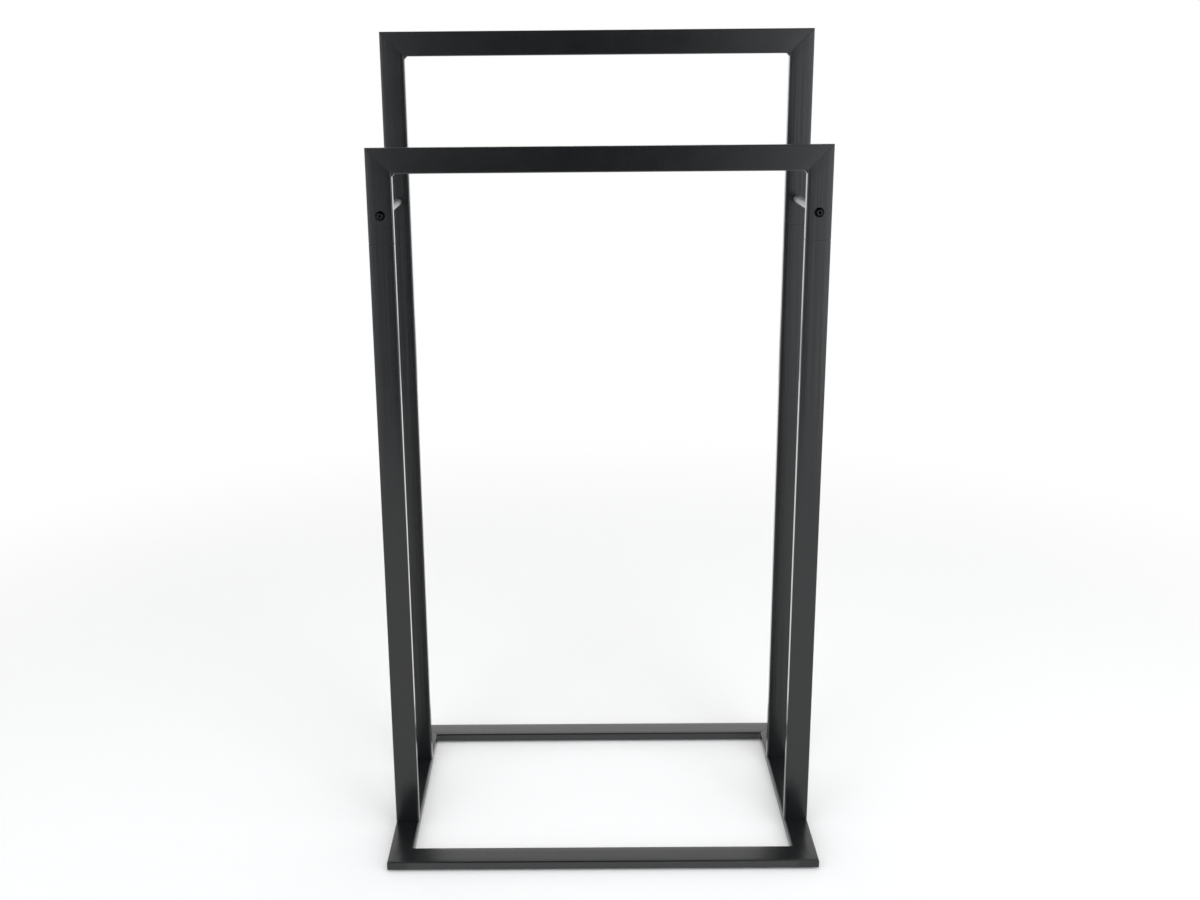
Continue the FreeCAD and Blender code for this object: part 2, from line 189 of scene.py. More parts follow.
def dullZincPlate():
    # Steel with zinc plating that has gone dull: soft grey metal whose broad shine lies evenly over a round
    # bar, with small crystals, drawn coarser than they are, that vary it in spots.
    plate = {"colour": "#9a9b9e", "spotColour": "#919295", "crystal": 0.8,
             "gloss": 0.50, "dull": 0.56, "crystalHeight": 0.002}
    finish, tree, place = newFinish("dull_zinc_plate")
    crystal = addNode(tree, "ShaderNodeTexVoronoi", {
        "Vector": place, "Scale": perMetre(plate["crystal"])})
    spot = addNode(tree, "ShaderNodeSeparateColor", {"Color": crystal.outputs["Color"]})
    tone = addNode(tree, "ShaderNodeMix", {
        "Factor": spot.outputs["Red"], "A": toLinear(plate["colour"]),
        "B": toLinear(plate["spotColour"])}, data_type="RGBA")
    shine = addNode(tree, "ShaderNodeMapRange", {
        "Value": spot.outputs["Green"], "To Min": plate["gloss"], "To Max": plate["dull"]})
    bump = addNode(tree, "ShaderNodeBump", {
        "Height": crystal.outputs["Distance"], "Distance": plate["crystalHeight"] * mm})
    shader = addNode(tree, "ShaderNodeBsdfPrincipled", {
        "Base Color": tone.outputs["Result"], "Metallic": 1.0,
        "Roughness": shine.outputs["Result"], "Normal": bump.outputs["Normal"]})
    addNode(tree, "ShaderNodeOutputMaterial", {"Surface": shader.outputs["BSDF"]})
    return finish


def drawnMillSteel():
    # Cold drawn flat steel as it leaves the mill: mid grey metal with fine draw lines along its length, which
    # are drawn wider than they are.
    steel = {"colour": "#7d7f82", "lineColour": "#63656a", "line": 0.3, "stretch": 0.02,
             "gloss": 0.30, "dull": 0.46, "lineHeight": 0.004}
    finish, tree, place = newFinish("drawn_mill_steel")
    drawn = addNode(tree, "ShaderNodeMapping", {
        "Vector": place, "Scale": (1.0, 1.0, steel["stretch"])})
    line = addNode(tree, "ShaderNodeTexNoise", {
        "Vector": drawn.outputs["Vector"], "Scale": perMetre(steel["line"]),
        "Detail": 3.0, "Roughness": 0.6})
    tone = addNode(tree, "ShaderNodeMix", {
        "Factor": line.outputs["Fac"], "A": toLinear(steel["lineColour"]),
        "B": toLinear(steel["colour"])}, data_type="RGBA")
    shine = addNode(tree, "ShaderNodeMapRange", {
        "Value": line.outputs["Fac"], **noiseRange, "To Min": steel["dull"], "To Max": steel["gloss"]})
    bump = addNode(tree, "ShaderNodeBump", {
        "Height": line.outputs["Fac"], "Distance": steel["lineHeight"] * mm})
    shader = addNode(tree, "ShaderNodeBsdfPrincipled", {
        "Base Color": tone.outputs["Result"], "Metallic": 1.0,
        "Roughness": shine.outputs["Result"], "Normal": bump.outputs["Normal"]})
    addNode(tree, "ShaderNodeOutputMaterial", {"Surface": shader.outputs["BSDF"]})
    return finish


def mouldedPadRubber():
    # Moulded black rubber: dull and soft to the eye, with a little bloom and a fine grain from a spark eroded
    # mould, drawn coarser than it is.
    rubber = {"colour": "#1d1d1c", "bloomColour": "#31312f", "bloom": 4, "dull": 0.78, "worn": 0.62,
              "grain": 0.25, "grainHeight": 0.01, "ior": 1.52}
    finish, tree, place = newFinish("moulded_pad_rubber")
    bloom = addNode(tree, "ShaderNodeTexNoise", {
        "Vector": place, "Scale": perMetre(rubber["bloom"]), "Detail": 4.0, "Roughness": 0.6})
    tone = addNode(tree, "ShaderNodeMix", {
        "Factor": bloom.outputs["Fac"], "A": toLinear(rubber["colour"]),
        "B": toLinear(rubber["bloomColour"])}, data_type="RGBA")
    shine = addNode(tree, "ShaderNodeMapRange", {
        "Value": bloom.outputs["Fac"], "To Min": rubber["dull"], "To Max": rubber["worn"]})
    grain = addNode(tree, "ShaderNodeTexNoise", {
        "Vector": place, "Scale": perMetre(rubber["grain"]), "Detail": 1.0})
    bump = addNode(tree, "ShaderNodeBump", {
        "Height": grain.outputs["Fac"], "Distance": rubber["grainHeight"] * mm})
    shader = addNode(tree, "ShaderNodeBsdfPrincipled", {
        "Base Color": tone.outputs["Result"], "Roughness": shine.outputs["Result"],
        "IOR": rubber["ior"], "Normal": bump.outputs["Normal"]})
    addNode(tree, "ShaderNodeOutputMaterial", {"Surface": shader.outputs["BSDF"]})
    return finish


coatAcross = blackPowderCoat("black_powder_coat_across", right)
coatDeep = blackPowderCoat("black_powder_coat_deep", back)
coatUpright = blackPowderCoat("black_powder_coat_upright", up)
screwFinish = blackenedScrewSteel(centreOf("right_cross_rod"))
zincFinish = dullZincPlate()
millFinish = drawnMillSteel()
padFinish = mouldedPadRubber()
print("finishes ready")


def newTree(name, sizes):
    # a geometry tree whose inputs are the named sizes; a size is a number, a count, a vector or a material
    kinds = {float: "NodeSocketFloat", int: "NodeSocketInt", Vector: "NodeSocketVector",
             bpy.types.Material: "NodeSocketMaterial"}
    tree = bpy.data.node_groups.new(name, "GeometryNodeTree")
    tree.interface.new_socket("Geometry", in_out="INPUT", socket_type="NodeSocketGeometry")
    for label, kind in sizes.items():
        tree.interface.new_socket(label, in_out="INPUT", socket_type=kinds[kind])
    tree.interface.new_socket("Geometry", in_out="OUTPUT", socket_type="NodeSocketGeometry")
    return tree, addNode(tree, "NodeGroupInput").outputs


def endTree(tree, geometry, finish):
    whole = addNode(tree, "GeometryNodeRealizeInstances", {"Geometry": geometry})
    dressed = addNode(tree, "GeometryNodeSetMaterial", {
        "Geometry": whole.outputs["Geometry"], "Material": finish})
    addNode(tree, "NodeGroupOutput", {"Geometry": dressed.outputs["Geometry"]})


def growPiece(name, tree, sizes, place, source=None):
    # runs the tree once and keeps its result as a plain mesh, with its place in the mesh
    seed = addObject(name + "_seed", source or bpy.data.meshes.new(name))
    modifier = seed.modifiers.new("shape", "NODES")
    modifier.node_group = tree
    for socket in tree.interface.items_tree:
        if socket.in_out == "INPUT" and socket.name in sizes:
            modifier[socket.identifier] = sizes[socket.name]
    graph = bpy.context.evaluated_depsgraph_get()
    mesh = bpy.data.meshes.new_from_object(seed.evaluated_get(graph))
    seed.modifiers.remove(modifier)
    bpy.data.objects.remove(seed)
    mesh.materials.clear()
    mesh.materials.append(sizes["Finish"])
    mesh.polygons.foreach_set("material_index", [0] * len(mesh.polygons))
    mesh.name = name
    mesh.transform(place)
    return addObject(name, mesh)


crispAngle = 38  # in degrees: an edge that turns by more than this stays crisp


def settle(piece, node):
    # smooth faces with crisp edges, where large faces keep their own direction beside small rounds; then the
    # piece goes on the root body, and the CAD node that it takes the place of is hidden
    piece.data.shade_smooth()
    piece.data.set_sharp_from_angle(angle=math.radians(crispAngle))
    weighted = piece.modifiers.new("face_weights", "WEIGHTED_NORMAL")
    weighted.keep_sharp = True
    graph = bpy.context.evaluated_depsgraph_get()
    piece.data = bpy.data.meshes.new_from_object(piece.evaluated_get(graph))
    piece.modifiers.remove(weighted)
    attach(piece, "root")
    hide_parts(node)


def makeTubeTree():
    # A flat tube: its wall's long section runs round a rounded rectangle. Its own x runs along it from the
    # start, y out to its long edge at 0, and z through it from 0.
    tree, size = newTree("flat_tube", {
        "Length": float, "Width": float, "Depth": float, "Wall": float,
        "Edge Radius": float, "Edge Steps": int, "Wide Crown": float, "Narrow Crown": float,
        "Face Step": float, "Ring Step": float,
        "Start Mitre": float, "End Mitre": float, "Mitre Reach": float,
        "Start Round": float, "End Round": float, "Round Steps": int,
        "Grind Reach": float, "Grind Depth": float, "Grind Patch": float, "Grind Seed": float,
        "Hole Count": int, "First Hole": float, "Hole Step": float,
        "Near Hole": float, "Far Hole": float, "Drill Sides": int, "Finish": bpy.types.Material})
    position = addNode(tree, "GeometryNodeInputPosition")
    halfWidth = addNode(tree, "ShaderNodeMath", {0: size["Width"], 1: 0.5}, operation="MULTIPLY")
    halfDepth = addNode(tree, "ShaderNodeMath", {0: size["Depth"], 1: 0.5}, operation="MULTIPLY")

    def divided(curve, step):
        # cuts each straight stretch of a closed curve into steps of about this length
        following = addNode(tree, "GeometryNodeOffsetPointInCurve", {"Offset": 1})
        there = addNode(tree, "GeometryNodeFieldAtIndex", {
            "Index": following.outputs["Point Index"], "Value": position},
            data_type="FLOAT_VECTOR", domain="POINT")
        gap = addNode(tree, "ShaderNodeVectorMath", {0: position, 1: there}, operation="DISTANCE")
        steps = addNode(tree, "ShaderNodeMath", {0: gap.outputs["Value"], 1: step}, operation="DIVIDE")
        cuts = addNode(tree, "ShaderNodeMath", {0: steps}, operation="FLOOR")
        return addNode(tree, "GeometryNodeSubdivideCurve", {"Curve": curve, "Cuts": cuts})

    # the section's outline, with rounded corners and faces that fall off towards their edges
    section = addNode(tree, "GeometryNodeCurvePrimitiveQuadrilateral", {
        "Width": size["Width"], "Height": size["Depth"]})
    rounded = addNode(tree, "GeometryNodeFilletCurve", {
        "Curve": section, "Radius": size["Edge Radius"], "Count": size["Edge Steps"],
        "Limit Radius": True}, mode="POLY")
    outline = divided(rounded, size["Face Step"])
    halves = addNode(tree, "ShaderNodeCombineXYZ", {"X": halfWidth, "Y": halfDepth, "Z": 1.0})
    share = addNode(tree, "ShaderNodeVectorMath", {0: position, 1: halves}, operation="DIVIDE")
    squared = addNode(tree, "ShaderNodeVectorMath", {0: share, 1: share}, operation="MULTIPLY")
    fourth = addNode(tree, "ShaderNodeVectorMath", {0: squared, 1: squared}, operation="MULTIPLY")
    squares = addNode(tree, "ShaderNodeSeparateXYZ", {0: fourth})
    swapped = addNode(tree, "ShaderNodeCombineXYZ", {"X": squares.outputs["Y"], "Y": squares.outputs["X"]})
    crowns = addNode(tree, "ShaderNodeCombineXYZ", {"X": size["Narrow Crown"], "Y": size["Wide Crown"]})
    fall = addNode(tree, "ShaderNodeVectorMath", {0: swapped, 1: crowns}, operation="MULTIPLY")
    inward = addNode(tree, "ShaderNodeVectorMath", {0: share, 1: fall}, operation="MULTIPLY")
    crowned = addNode(tree, "ShaderNodeVectorMath", {0: position, 1: inward}, operation="SUBTRACT")
    loop = addNode(tree, "GeometryNodeSetPosition", {"Geometry": outline, "Position": crowned})
    loopUp = addNode(tree, "GeometryNodeSetCurveNormal", {"Curve": loop}, mode="Z_UP")

    # the wall's long section, with a small round at each end where the tube meets its neighbour; its y runs
    # down the finished tube, so the start is where y is highest
    strip = addNode(tree, "GeometryNodeCurvePrimitiveQuadrilateral", {
        "Width": size["Wall"], "Height": size["Length"]})
    spot = addNode(tree, "ShaderNodeSeparateXYZ", {0: position})
    atStart = addNode(tree, "FunctionNodeCompare", {"A": spot.outputs["Y"], "B": 0.0},
                      data_type="FLOAT", operation="GREATER_THAN")
    ease = addNode(tree, "GeometryNodeSwitch", {
        "Switch": atStart, "False": size["End Round"], "True": size["Start Round"]}, input_type="FLOAT")
    eased = addNode(tree, "GeometryNodeFilletCurve", {
        "Curve": strip, "Radius": ease, "Count": size["Round Steps"], "Limit Radius": True}, mode="POLY")
    wallBack = addNode(tree, "ShaderNodeMath", {0: size["Wall"], 1: -0.5}, operation="MULTIPLY")
    lengthBack = addNode(tree, "ShaderNodeMath", {0: size["Length"], 1: -0.5}, operation="MULTIPLY")
    inside = addNode(tree, "ShaderNodeCombineXYZ", {"X": wallBack, "Y": lengthBack})
    strips = addNode(tree, "GeometryNodeTransform", {
        "Geometry": divided(eased, size["Ring Step"]), "Translation": inside})
    skin = addNode(tree, "GeometryNodeCurveToMesh", {"Curve": loopUp, "Profile Curve": strips})

    # the mitres lean each end back towards the short edge, and the axes turn to the tube's own
    fromEnd = addNode(tree, "ShaderNodeMath", {0: size["Length"], 1: spot.outputs["Z"]},
                      operation="SUBTRACT")
    startLean = addNode(tree, "ShaderNodeMapRange", {
        "Value": spot.outputs["Z"], "From Max": size["Mitre Reach"], "To Min": size["Start Mitre"],
        "To Max": 0.0})
    endLean = addNode(tree, "ShaderNodeMapRange", {
        "Value": fromEnd, "From Max": size["Mitre Reach"], "To Min": size["End Mitre"], "To Max": 0.0})
    lean = addNode(tree, "ShaderNodeMath", {0: startLean, 1: endLean}, operation="SUBTRACT")
    fromEdge = addNode(tree, "ShaderNodeMath", {0: halfWidth, 1: spot.outputs["X"]}, operation="SUBTRACT")
    along = addNode(tree, "ShaderNodeMath", {0: lean, 1: fromEdge, 2: spot.outputs["Z"]},
                    operation="MULTIPLY_ADD")
    out = addNode(tree, "ShaderNodeMath", {0: spot.outputs["X"], 1: halfWidth}, operation="SUBTRACT")

    # the wide faces dip a little, in patches, where a mitre was ground flush
    startGround = addNode(tree, "ShaderNodeMapRange", {
        "Value": spot.outputs["Z"], "From Max": size["Grind Reach"], "To Min": size["Start Mitre"],
        "To Max": 0.0}, interpolation_type="SMOOTHSTEP")
    endGround = addNode(tree, "ShaderNodeMapRange", {
        "Value": fromEnd, "From Max": size["Grind Reach"], "To Min": size["End Mitre"],
        "To Max": 0.0}, interpolation_type="SMOOTHSTEP")
    ground = addNode(tree, "ShaderNodeMath", {0: startGround, 1: endGround}, operation="MAXIMUM")
    patch = addNode(tree, "ShaderNodeTexNoise", {
        "Vector": position, "W": size["Grind Seed"], "Scale": size["Grind Patch"], "Detail": 1.0},
        noise_dimensions="4D")
    dips = addNode(tree, "ShaderNodeMath", {0: ground, 1: patch.outputs["Fac"]}, operation="MULTIPLY")
    dip = addNode(tree, "ShaderNodeMath", {0: dips, 1: size["Grind Depth"]}, operation="MULTIPLY")
    dipShare = addNode(tree, "ShaderNodeMath", {0: dip, 1: halfDepth}, operation="DIVIDE")
    kept = addNode(tree, "ShaderNodeMath", {0: 1.0, 1: dipShare}, operation="SUBTRACT")
    through = addNode(tree, "ShaderNodeMath", {0: spot.outputs["Y"], 1: kept, 2: halfDepth},
                      operation="MULTIPLY_ADD")
    laid = addNode(tree, "ShaderNodeCombineXYZ", {"X": along, "Y": out, "Z": through})
    tube = addNode(tree, "GeometryNodeSetPosition", {"Geometry": skin, "Position": laid})

    def drills(diameter, level):
        # a row of drills along the middle of the face at this level
        middle = addNode(tree, "ShaderNodeMath", {0: halfWidth, 1: -1.0}, operation="MULTIPLY")
        first = addNode(tree, "ShaderNodeCombineXYZ", {"X": size["First Hole"], "Y": middle, "Z": level})
        step = addNode(tree, "ShaderNodeCombineXYZ", {"X": size["Hole Step"]})
        row = addNode(tree, "GeometryNodeMeshLine", {
            "Count": size["Hole Count"], "Start Location": first, "Offset": step})
        radius = addNode(tree, "ShaderNodeMath", {0: diameter, 1: 0.5}, operation="MULTIPLY")
        drill = addNode(tree, "GeometryNodeMeshCylinder", {
            "Vertices": size["Drill Sides"], "Radius": radius, "Depth": halfDepth})
        return addNode(tree, "GeometryNodeInstanceOnPoints", {"Points": row, "Instance": drill})

    nearDrills = addNode(tree, "GeometryNodeRealizeInstances", {
        "Geometry": drills(size["Near Hole"], 0.0)})
    farDrills = addNode(tree, "GeometryNodeRealizeInstances", {
        "Geometry": drills(size["Far Hole"], size["Depth"])})
    nearOpen = addNode(tree, "GeometryNodeMeshBoolean", {"Mesh 1": tube, "Mesh 2": nearDrills},
                       operation="DIFFERENCE", solver="EXACT")
    bothOpen = addNode(tree, "GeometryNodeMeshBoolean", {"Mesh 1": nearOpen, "Mesh 2": farDrills},
                       operation="DIFFERENCE", solver="EXACT")
    anyHole = addNode(tree, "FunctionNodeCompare", {2: size["Hole Count"], 3: 0},
                      data_type="INT", operation="GREATER_THAN")
    drilled = addNode(tree, "GeometryNodeSwitch", {
        "Switch": anyHole, "False": tube, "True": bothOpen}, input_type="GEOMETRY")
    endTree(tree, drilled, size["Finish"])
    return tree


tubeSizes = {
    "wall": 1.2, "edgeRadius": 1.5, "edgeSteps": 8,  # rolled steel tube, 25 by 10
    "wideCrown": 0.25, "narrowCrown": 0.03,  # rolled faces are flat in the middle and fall off at the edges
    "faceStep": 1.5, "ringStep": 18.0, "groundRingStep": 4.0, "endSteps": 3,
    "mitreReach": 75.0,  # within this far of a mitre the rings lean with it
    "grindReach": 17.0, "grindDepth": 0.16, "grindPatch": 15.0,  # what the grinder took off beside a mitre
    "lockHole": 5.5, "boltHole": 6.5, "boltAccess": 12.0, "drillSides": 40,
}
tubeEnds = {
    "mitre": {"lean": 1.0, "round": 0.25, "gap": 0.05},  # ground flush and coated over, with a hairline left
    "seam": {"lean": 0.0, "round": 0.20, "gap": 0.18},  # sawn end that meets its neighbour over a spigot
    "seat": {"lean": 0.0, "round": 0.20, "gap": 0.0},  # sawn end that stands on the base
}
tubeTree = makeTubeTree()


def layTube(node, finish, out, through, ends, holes=None):
    # makes the tube that fills a node's box; out points to its long edge, through from its near face
    low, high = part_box(node)
    half = (high - low) / 2
    along = out.cross(through)
    spans = [2 * abs(half.dot(way)) for way in (along, out, through)]
    start, end = (tubeEnds[kind] for kind in ends)
    spans[0] -= (start["gap"] + end["gap"]) * mm
    middle = centreOf(node) + along * (start["gap"] - end["gap"]) / 2 * mm
    corner = middle - along * spans[0] / 2 + out * spans[1] / 2 - through * spans[2] / 2
    place = Matrix.Translation(corner) @ Matrix((along, out, through)).transposed().to_4x4()
    ringStep = tubeSizes["groundRingStep" if "mitre" in ends else "ringStep"]
    sizes = {
        "Length": spans[0], "Width": spans[1], "Depth": spans[2],
        "Wall": tubeSizes["wall"] * mm, "Edge Radius": tubeSizes["edgeRadius"] * mm,
        "Edge Steps": tubeSizes["edgeSteps"], "Wide Crown": tubeSizes["wideCrown"] * mm,
        "Narrow Crown": tubeSizes["narrowCrown"] * mm,
        "Face Step": tubeSizes["faceStep"] * mm, "Ring Step": ringStep * mm,
        "Start Mitre": start["lean"], "End Mitre": end["lean"], "Mitre Reach": tubeSizes["mitreReach"] * mm,
        "Start Round": start["round"] * mm, "End Round": end["round"] * mm,
        "Round Steps": tubeSizes["endSteps"],
        "Grind Reach": tubeSizes["grindReach"] * mm, "Grind Depth": tubeSizes["grindDepth"] * mm,
        "Grind Patch": perMetre(tubeSizes["grindPatch"]), "Grind Seed": corner.dot(right + back) / mm,
        "Drill Sides": tubeSizes["drillSides"], "Finish": finish,
    }
    if holes:
        first, last, near, far = holes
        starts = sorted((point - corner).dot(along) for point in (first, last))
        sizes.update({
            "Hole Count": 1 if first == last else 2, "First Hole": starts[0],
            "Hole Step": starts[1] - starts[0], "Near Hole": near * mm, "Far Hole": far * mm})
    settle(growPiece(node + "_tube", tubeTree, sizes, place), node)


for end, out in (("front", -back), ("rear", back)):
    layTube("base_" + end + "_bar", coatAcross, out, -up, ("mitre", "mitre"))
    layTube(end + "_rail", coatAcross, up, back, ("mitre", "mitre"))
for side, out in (("left", -right), ("right", right)):
    seats = [centreOf(side + "_" + end + "_leg") for end in ("front", "rear")]
    layTube("base_" + side + "_bar", coatDeep, out, -up, ("mitre", "mitre"),
            (*seats, tubeSizes["boltHole"], tubeSizes["boltAccess"]))
    across = out.cross(up)  # so that each upright runs down from its top
    rod = centreOf(side + "_cross_rod")
    lock = (rod, rod, tubeSizes["lockHole"], tubeSizes["lockHole"])
    for end in ("front", "rear"):
        layTube(side + "_" + end + "_leg", coatUpright, out, across, ("seam", "seat"))
        layTube(end + "_" + side + "_post", coatUpright, out, across, ("mitre", "seam"), lock)
print("tubes laid")


def turnedMesh(name, rings, steps):
    # A closed shape from rings along z, each (radius, height, sides) in millimetres. A ring with sides is a
    # polygon whose flats lie at that radius, for a wrench socket. The first and the last ring are closed at
    # the middle.
    mesh = bmesh.new()
    laid = []
    for radius, height, sides in rings:
        ring = []
        for i in range(steps):
            angle = 2 * math.pi * i / steps
            reach = radius * mm
            if sides:
                fold = math.pi / sides
                reach /= math.cos((angle + fold) % (2 * fold) - fold)
            ring.append(mesh.verts.new((reach * math.cos(angle), reach * math.sin(angle), height * mm)))
        laid.append(ring)
    for lower, upper in zip(laid, laid[1:]):
        for i in range(steps):
            j = (i + 1) % steps
            mesh.faces.new((lower[i], lower[j], upper[j], upper[i]))
    for ring, height in ((laid[0], rings[0][1]), (laid[-1], rings[-1][1])):
        middle = mesh.verts.new((0, 0, height * mm))
        for i in range(steps):
            mesh.faces.new((ring[i], ring[(i + 1) % steps], middle))
    bmesh.ops.recalc_face_normals(mesh, faces=mesh.faces)
    result = bpy.data.meshes.new(name)
    mesh.to_mesh(result)
    mesh.free()
    return result


def makeSetOutTree():
    # the same piece in two columns and one or two rows about the middle
    tree, size = newTree("set_out", {
        "Column Gap": float, "Row Gap": float, "Rows": int, "Finish": bpy.types.Material})

    def line(axis, gap, count):
        # two points a gap apart about the middle, or one alone with no gap
        shift = addNode(tree, "ShaderNodeCombineXYZ", {axis: gap})
        first = addNode(tree, "ShaderNodeVectorMath", {0: shift, "Scale": -0.5}, operation="SCALE")
        return addNode(tree, "GeometryNodeMeshLine", {
            "Count": count, "Start Location": first, "Offset": shift})

    columns = addNode(tree, "GeometryNodeInstanceOnPoints", {
        "Points": line("X", size["Column Gap"], 2), "Instance": size["Geometry"]})
    rows = addNode(tree, "GeometryNodeInstanceOnPoints", {
        "Points": line("Y", size["Row Gap"], size["Rows"]), "Instance": columns})
    endTree(tree, rows, size["Finish"])
    return tree


setOutTree = makeSetOutTree()


def buttonHead(sizes):
    # rings of a round head screw, from the tip of its shank at the bottom to the floor of its socket
    shank, reach, tip = sizes["thread"] / 2, sizes["reach"], sizes["tip"]
    rim, head = sizes["rim"], sizes["head"] / 2
    land, top, socket = sizes["land"] / 2, sizes["height"], sizes["socket"] / 2
    rings = [(shank - tip, -reach, 0), (shank, tip - reach, 0), (shank, 0, 0),
             (head - sizes["ease"], 0, 0), (head, sizes["ease"], 0), (head, rim, 0)]
    # the dome is the part of a sphere that passes through the rim and the edge of the land
    middle = (land ** 2 + top ** 2 - head ** 2 - rim ** 2) / (2 * (top - rim))
    sphere = math.hypot(head, rim - middle)
    steps = sizes["domeSteps"]
    for i in range(1, steps + 1):
        radius = head + (land - head) * i / steps
        rings.append((radius, middle + math.sqrt(sphere ** 2 - radius ** 2), 0))
    mouth, floor, sides = sizes["mouth"], top - sizes["socketDepth"], sizes["socketSides"]
    rings += [(socket / math.cos(math.pi / sides) + mouth, top, 0), (socket, top - mouth, sides),
              (socket, floor, sides), (sizes["cone"] / 2, floor - sizes["coneDepth"], 0)]
    return rings


def setOut(name, mesh, turn, origin, gaps, finish, node):
    # places copies about a point, with the piece's own z turned to where its head points
    mesh.transform(turn)
    sizes = {"Column Gap": gaps[0], "Row Gap": gaps[1], "Rows": 2 if gaps[1] else 1, "Finish": finish}
    settle(growPiece(name, setOutTree, sizes, Matrix.Translation(origin), mesh), node)


lockScrew = {
    "thread": 5.0, "reach": 20.0, "tip": 0.6, "head": 9.5, "height": 2.55, "rim": 0.55, "ease": 0.15,
    "land": 5.0, "domeSteps": 7, "steps": 72, "socket": 3.0, "socketSides": 6, "socketDepth": 1.5,
    "mouth": 0.25, "cone": 0.6, "coneDepth": 0.45,
}
rodSpan = centreOf("right_cross_rod").x - centreOf("left_cross_rod").x
for end, out in (("front", -back), ("rear", back)):
    node = end + "_lock_screws"
    face = centreOf("left_cross_rod")
    face.x = 0
    face.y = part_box(end + "_rail")[0 if end == "front" else 1].y
    turn = up.rotation_difference(out).to_matrix().to_4x4()
    setOut(node + "_heads", turnedMesh(node, buttonHead(lockScrew), lockScrew["steps"]), turn, face,
           (rodSpan, 0.0), screwFinish, node)

baseBolt = {
    "thread": 6.0, "reach": 15.2, "tip": 0.6, "head": 10.5, "height": 2.95, "rim": 0.6, "ease": 0.15,
    "land": 6.0, "domeSteps": 6, "steps": 72, "socket": 4.0, "socketSides": 6, "socketDepth": 1.9,
    "mouth": 0.3, "cone": 0.8, "coneDepth": 0.6,
}
seat = centreOf("base_bolts")
seat.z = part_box("base_left_bar")[1].z - tubeSizes["wall"] * mm
legSpan = centreOf("left_rear_leg").y - centreOf("left_front_leg").y
setOut("base_bolts_plated", turnedMesh("base_bolts", buttonHead(baseBolt), baseBolt["steps"]),
       Matrix.Rotation(math.pi, 4, "X"), seat, (rodSpan, legSpan),
       zincFinish, "base_bolts")


def easedEdge(radius, ease):
    # three rings round a small edge, from the flat end out to the side
    middle = 0.3 * ease  # near where a quarter circle has its middle
    return [(radius - ease, 0, 0), (radius - middle, middle, 0), (radius, ease, 0)]


basePad = {"diameter": 18.0, "ease": 0.35, "dish": 12.0, "dishSlope": 0.3, "dishDepth": 0.25, "steps": 64}
padLow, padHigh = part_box("base_pads")
padTop = padHigh.z / mm
padHalf, padEase, dishHalf = basePad["diameter"] / 2, basePad["ease"], basePad["dish"] / 2
padRings = [(dishHalf - basePad["dishSlope"], basePad["dishDepth"], 0), (dishHalf, 0, 0),
            *easedEdge(padHalf, padEase), (padHalf, padTop - padEase, 0), (padHalf - padEase, padTop, 0)]
padGaps = [span - basePad["diameter"] * mm for span in (padHigh - padLow).xy]
setOut("base_pads_moulded", turnedMesh("base_pads", padRings, basePad["steps"]), Matrix.Identity(4),
       Vector((0, 0, 0)), padGaps, padFinish, "base_pads")

crossRod = {"diameter": 8.0, "ease": 0.5, "bore": 4.2, "boreDepth": 13.0, "steps": 64}


def layRod(node):
    # a round bar the length of a node's box, bored at both ends
    low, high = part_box(node)
    span = (high - low).y / mm
    radius, ease = crossRod["diameter"] / 2, crossRod["ease"]
    bore, deep = crossRod["bore"] / 2, crossRod["boreDepth"]
    rings = [(bore, deep, 0), (bore, ease, 0), (bore + ease, 0, 0), *easedEdge(radius, ease)]
    rings += [(r, span - h, s) for r, h, s in reversed(rings)]
    mesh = turnedMesh(node, rings, crossRod["steps"])
    start = centreOf(node)
    start.y = low.y
    mesh.transform(Matrix.Translation(start) @ up.rotation_difference(back).to_matrix().to_4x4())
    mesh.materials.append(zincFinish)
    settle(addObject(node + "_plated", mesh), node)


for side in ("left", "right"):
    layRod(side + "_cross_rod")
print("rods, screws, bolts and pads set")


